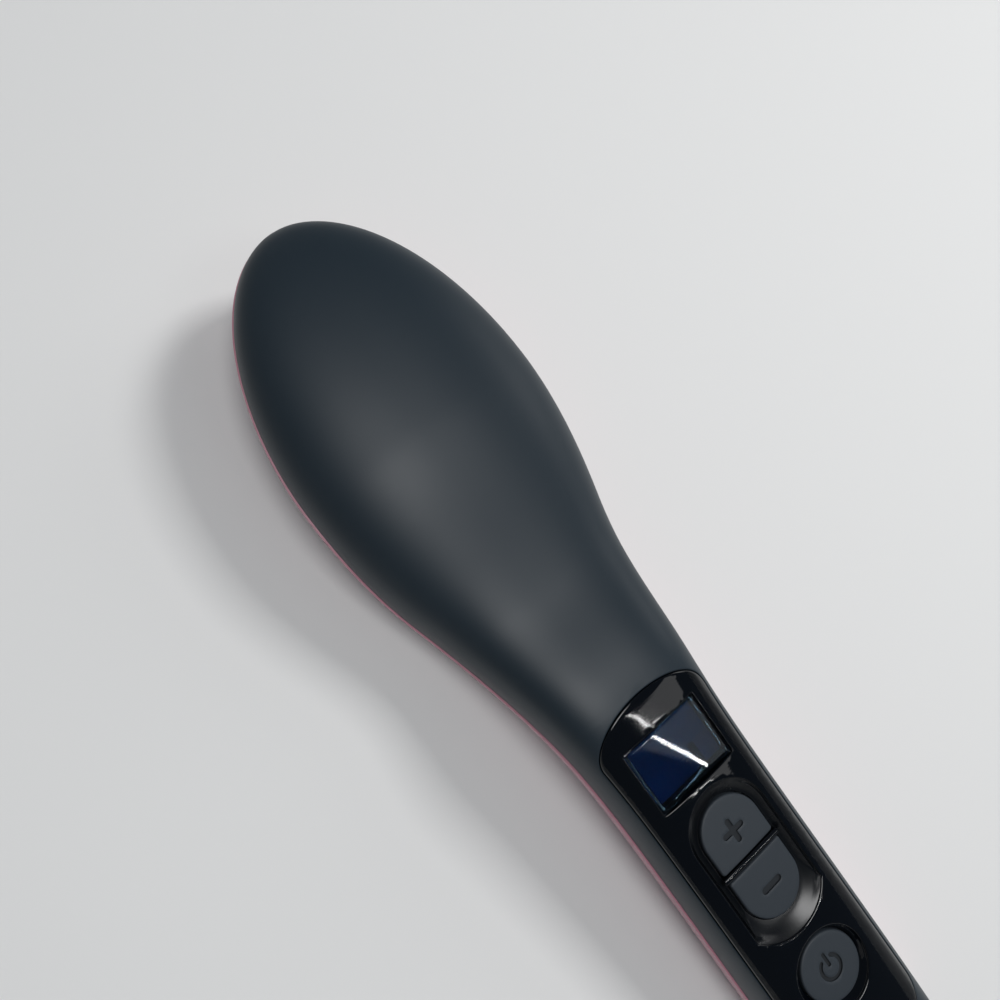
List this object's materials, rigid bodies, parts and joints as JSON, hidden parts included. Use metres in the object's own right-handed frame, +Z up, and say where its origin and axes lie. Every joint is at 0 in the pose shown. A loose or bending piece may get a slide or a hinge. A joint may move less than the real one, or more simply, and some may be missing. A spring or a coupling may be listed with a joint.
{
  "type": "steam hair straightener brush",
  "caption": "Paddle brush with a heated toothed plate under an oval head, a small steam circuit in the neck, a gloss control panel with display and keys on the grip, and a cord swivel.",
  "frame": {"origin": "centre of the bounding box, on the table plane", "axes": "+X across the brush, +Y from the grip towards the tip of the head, +Z up: teeth down, back up"},
  "size_m": [0.0686, 0.28, 0.0365],
  "materials": {
    "black_shell": "soft-touch matte, near black",
    "pink_shell": "satin rose pink",
    "panel_gloss": "piano black gloss",
    "display_lens": "dark blue tinted display lens",
    "display_cell": "dark blue display cell",
    "key_grey": "matte charcoal keys",
    "natural_plastic": "natural white moulding",
    "board_green": "green solder mask",
    "component_black": "black moulded parts",
    "capacitor_yellow": "yellow capacitor case",
    "terminal_green": "green terminal block",
    "fuse_ceramic": "white ceramic",
    "steel": "zinc plated",
    "pink_ceramic": "ceramic coated, rose",
    "tip_black": "heat resistant nylon",
    "heater_grey": "mill finish heater bars",
    "mica": "mica sheet",
    "shield_tan": "heat resistant laminate",
    "cast_alloy": "cast, as made",
    "clear_plastic": "clear tank moulding",
    "seal_rubber": "black seal",
    "silicone": "milky silicone hose",
    "lead_red": "red silicone insulation",
    "lead_white": "white insulation"
  },
  "bodies": {
    "brush": {"back_shell": "black_shell", "front_shell": "pink_shell", "control_panel": "panel_gloss", "lcd_window": "display_lens", "lcd_module": "display_cell", "lcd_holder": "natural_plastic", "main_board": "board_green", "board_parts": "component_black", "key_switches": "component_black", "power_board": "board_green", "power_capacitor": "capacitor_yellow", "triac": "component_black", "line_fuse": "fuse_ceramic", "terminal_block": "terminal_green", "housing_screws": "steel", "screw_caps": "pink_shell", "board_screws": "steel", "heater_plate": "pink_ceramic", "comb_teeth": "pink_ceramic", "tooth_tips": "tip_black", "bristle_ring": "tip_black", "outer_pins": "tip_black", "heating_element": "heater_grey", "mica_sheet": "mica", "heater_clamp": "steel", "heat_shield": "shield_tan", "shield_screws": "steel", "plate_screws": "steel", "thermistor": "component_black", "thermal_fuse": "steel", "steam_chamber": "cast_alloy", "water_tank": "clear_plastic", "tank_lid": "clear_plastic", "suction_tube": "silicone", "delivery_tube": "silicone", "pump_head": "natural_plastic", "pump_motor": "steel", "heater_leads": "lead_red", "sensor_leads": "lead_white", "end_collar": "black_shell", "swivel_bearing": "natural_plastic"},
    "plus_key": {"plus_button": "key_grey", "switch_stem_plus": "natural_plastic"},
    "minus_key": {"minus_button": "key_grey", "switch_stem_minus": "natural_plastic"},
    "power_key": {"power_button": "key_grey", "switch_stem_power": "natural_plastic"},
    "plug": {"filler_plug": "pink_shell", "plug_seal": "seal_rubber"},
    "gland": {"cord_swivel": "tip_black"}
  },
  "joints": [
    {"name": "plus_press", "type": "slide", "parent": "brush", "child": "plus_key", "axis": [0, 0.0958, -0.9954], "range_m": [0, 0.0005], "stiffness_N_per_m": 1500, "springref_m": -0.0004},
    {"name": "minus_press", "type": "slide", "parent": "brush", "child": "minus_key", "axis": [0, 0.0958, -0.9954], "range_m": [0, 0.0005], "stiffness_N_per_m": 1500, "springref_m": -0.0004},
    {"name": "power_press", "type": "slide", "parent": "brush", "child": "power_key", "axis": [0, 0.0958, -0.9954], "range_m": [0, 0.0005], "stiffness_N_per_m": 1500, "springref_m": -0.0004},
    {"name": "plug_pull", "type": "slide", "parent": "brush", "child": "plug", "axis": [0, 0, -1], "range_m": [0, 0.012]},
    {"name": "gland_turn", "type": "hinge", "parent": "brush", "child": "gland", "pos_m": [0, -0.127, 0.01232], "axis": [0, 1, 0], "continuous": true}
  ]
}
